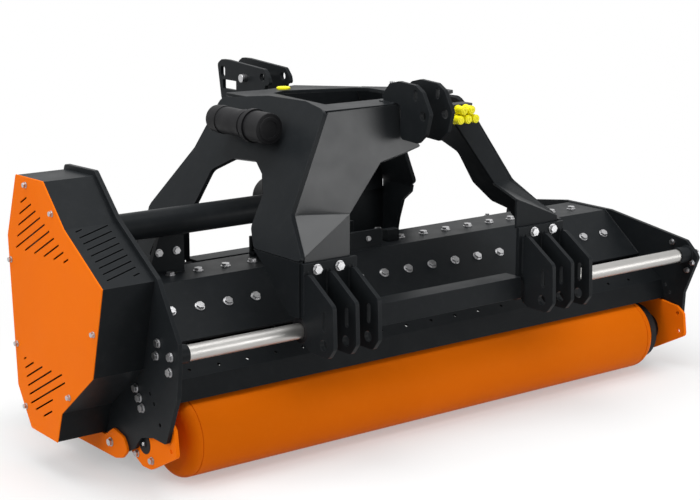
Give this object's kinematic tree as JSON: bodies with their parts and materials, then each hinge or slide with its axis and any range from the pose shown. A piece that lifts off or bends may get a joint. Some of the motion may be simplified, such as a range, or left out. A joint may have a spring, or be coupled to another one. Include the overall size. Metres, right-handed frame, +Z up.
{
  "type": "flail mower",
  "caption": "Side-shifting flail mower for a three-point hitch: hammer rotor under a folded deck, belt casing, support roller, and a tower that slides on chromed bars.",
  "frame": {"origin": "on the ground under the middle of the bounding box", "axes": "+X across the machine away from the belt casing, +Y from the roller side to the curtain side, +Z up"},
  "size_m": [2.044, 1.1482, 0.9669],
  "materials": {
    "dark_paint": "satin anthracite powder coat",
    "orange_paint": "satin orange powder coat",
    "bright_bar": "hard chromed, ground",
    "zinc": "bright zinc plated",
    "cast_grey": "dark grey casting",
    "black_plastic": "black grained plastic",
    "black_rubber": "black rubber",
    "yellow_plastic": "yellow plastic"
  },
  "bodies": {
    "deck": {"left_side_plate": "dark_paint", "right_side_plate": "dark_paint", "deck_shell": "dark_paint", "front_apron": "dark_paint", "rear_apron": "dark_paint", "rear_curtain": "black_rubber", "counter_blades": "cast_grey", "deck_bolts": "zinc", "slide_bars": "bright_bar", "bar_bosses": "dark_paint", "plate_bolts": "zinc", "belt_housing": "dark_paint", "belt_cover": "orange_paint", "skids": "orange_paint", "roller_brackets": "orange_paint", "roller_bearings": "black_plastic", "shaft_bearings": "cast_grey", "gearbox_housing": "cast_grey", "gearbox_stand": "dark_paint", "drive_tube": "dark_paint", "cylinder_barrel": "dark_paint", "drive_belts": "black_rubber"},
    "tensioner": {"tensioner_arm": "cast_grey"},
    "idler": {"idler_pulley": "cast_grey"},
    "roller": {"roller": "orange_paint"},
    "rotor": {"rotor": "cast_grey", "rotor_pulley": "cast_grey"},
    "cross_shaft": {"cross_shaft": "bright_bar", "drive_pulley": "cast_grey"},
    "pto_shaft": {"pto_shaft": "cast_grey"},
    "tower": {"left_arch": "dark_paint", "right_arch": "dark_paint", "front_hood": "dark_paint", "rear_hood": "dark_paint", "top_plate": "dark_paint", "front_clevis": "dark_paint", "rear_clevis": "dark_paint", "front_hitch": "dark_paint", "rear_hitch": "dark_paint", "bar_guards": "dark_paint", "slide_bushes": "black_plastic", "tower_bolts": "zinc", "manual_canister": "black_plastic", "coupler_block": "cast_grey", "cylinder_rod": "bright_bar"},
    "canister_cap": {"canister_cap": "black_plastic"},
    "coupler_caps": {"coupler_caps": "yellow_plastic"},
    "top_link_pin": {"top_link_pin": "zinc"},
    "hammer_1": {"hammer_1": "cast_grey"},
    "hammer_2": {"hammer_2": "cast_grey"},
    "hammer_3": {"hammer_3": "cast_grey"},
    "hammer_4": {"hammer_4": "cast_grey"},
    "hammer_5": {"hammer_5": "cast_grey"},
    "hammer_6": {"hammer_6": "cast_grey"},
    "hammer_7": {"hammer_7": "cast_grey"},
    "hammer_8": {"hammer_8": "cast_grey"},
    "hammer_9": {"hammer_9": "cast_grey"},
    "hammer_10": {"hammer_10": "cast_grey"},
    "hammer_11": {"hammer_11": "cast_grey"},
    "hammer_12": {"hammer_12": "cast_grey"}
  },
  "joints": [
    {"name": "side_shift", "type": "slide", "parent": "deck", "child": "tower", "axis": [1, 0, 0], "range_m": [-0.33, 0.03]},
    {"name": "roller_spin", "type": "hinge", "parent": "deck", "child": "roller", "pos_m": [0.068, -0.2923, 0.108], "axis": [1, 0, 0], "continuous": true},
    {"name": "rotor_spin", "type": "hinge", "parent": "deck", "child": "rotor", "pos_m": [0.068, 0.0017, 0.25], "axis": [1, 0, 0], "continuous": true},
    {"name": "cross_spin", "type": "hinge", "parent": "deck", "child": "cross_shaft", "pos_m": [0.068, 0.0017, 0.598], "axis": [1, 0, 0], "continuous": true},
    {"name": "pto_spin", "type": "hinge", "parent": "deck", "child": "pto_shaft", "pos_m": [-0.167, 0.0017, 0.598], "axis": [0, 1, 0], "continuous": true},
    {"name": "tension_swing", "type": "hinge", "parent": "deck", "child": "tensioner", "pos_m": [-0.882, -0.1239, 0.55578], "axis": [1, 0, 0], "range_deg": [-12, 0], "stiffness_Nm_per_rad": 60, "springref_deg": 5.73},
    {"name": "idler_spin", "type": "hinge", "parent": "tensioner", "child": "idler", "pos_m": [-0.946, -0.1239, 0.44578], "axis": [1, 0, 0], "continuous": true},
    {"name": "hammer_1_swing", "type": "hinge", "parent": "rotor", "child": "hammer_1", "pos_m": [-0.702, 0.1067, 0.25], "axis": [1, 0, 0], "range_deg": [-10, 190]},
    {"name": "hammer_2_swing", "type": "hinge", "parent": "rotor", "child": "hammer_2", "pos_m": [-0.562, -0.1033, 0.25], "axis": [-1, 0, 0], "range_deg": [-10, 190]},
    {"name": "hammer_3_swing", "type": "hinge", "parent": "rotor", "child": "hammer_3", "pos_m": [-0.422, 0.1067, 0.25], "axis": [1, 0, 0], "range_deg": [-10, 190]},
    {"name": "hammer_4_swing", "type": "hinge", "parent": "rotor", "child": "hammer_4", "pos_m": [-0.282, -0.1033, 0.25], "axis": [-1, 0, 0], "range_deg": [-10, 190]},
    {"name": "hammer_5_swing", "type": "hinge", "parent": "rotor", "child": "hammer_5", "pos_m": [-0.142, 0.1067, 0.25], "axis": [1, 0, 0], "range_deg": [-10, 190]},
    {"name": "hammer_6_swing", "type": "hinge", "parent": "rotor", "child": "hammer_6", "pos_m": [-0.002, -0.1033, 0.25], "axis": [-1, 0, 0], "range_deg": [-10, 190]},
    {"name": "hammer_7_swing", "type": "hinge", "parent": "rotor", "child": "hammer_7", "pos_m": [0.138, 0.1067, 0.25], "axis": [1, 0, 0], "range_deg": [-10, 190]},
    {"name": "hammer_8_swing", "type": "hinge", "parent": "rotor", "child": "hammer_8", "pos_m": [0.278, -0.1033, 0.25], "axis": [-1, 0, 0], "range_deg": [-10, 190]},
    {"name": "hammer_9_swing", "type": "hinge", "parent": "rotor", "child": "hammer_9", "pos_m": [0.418, 0.1067, 0.25], "axis": [1, 0, 0], "range_deg": [-10, 190]},
    {"name": "hammer_10_swing", "type": "hinge", "parent": "rotor", "child": "hammer_10", "pos_m": [0.558, -0.1033, 0.25], "axis": [-1, 0, 0], "range_deg": [-10, 190]},
    {"name": "hammer_11_swing", "type": "hinge", "parent": "rotor", "child": "hammer_11", "pos_m": [0.698, 0.1067, 0.25], "axis": [1, 0, 0], "range_deg": [-10, 190]},
    {"name": "hammer_12_swing", "type": "hinge", "parent": "rotor", "child": "hammer_12", "pos_m": [0.838, -0.1033, 0.25], "axis": [-1, 0, 0], "range_deg": [-10, 190]},
    {"name": "cap_pull", "type": "slide", "parent": "tower", "child": "canister_cap", "axis": [0, -1, 0], "range_m": [0, 0.06]},
    {"name": "coupler_caps_pull", "type": "slide", "parent": "tower", "child": "coupler_caps", "axis": [0, -1, 0], "range_m": [0, 0.03]},
    {"name": "pin_pull", "type": "slide", "parent": "tower", "child": "top_link_pin", "axis": [1, 0, 0], "range_m": [0, 0.14]}
  ],
  "couplings": [
    {"joint": "cross_spin", "follows": "rotor_spin", "ratio": 0.8},
    {"joint": "pto_spin", "follows": "rotor_spin", "ratio": 0.26667},
    {"joint": "idler_spin", "follows": "rotor_spin", "ratio": -1.9}
  ]
}
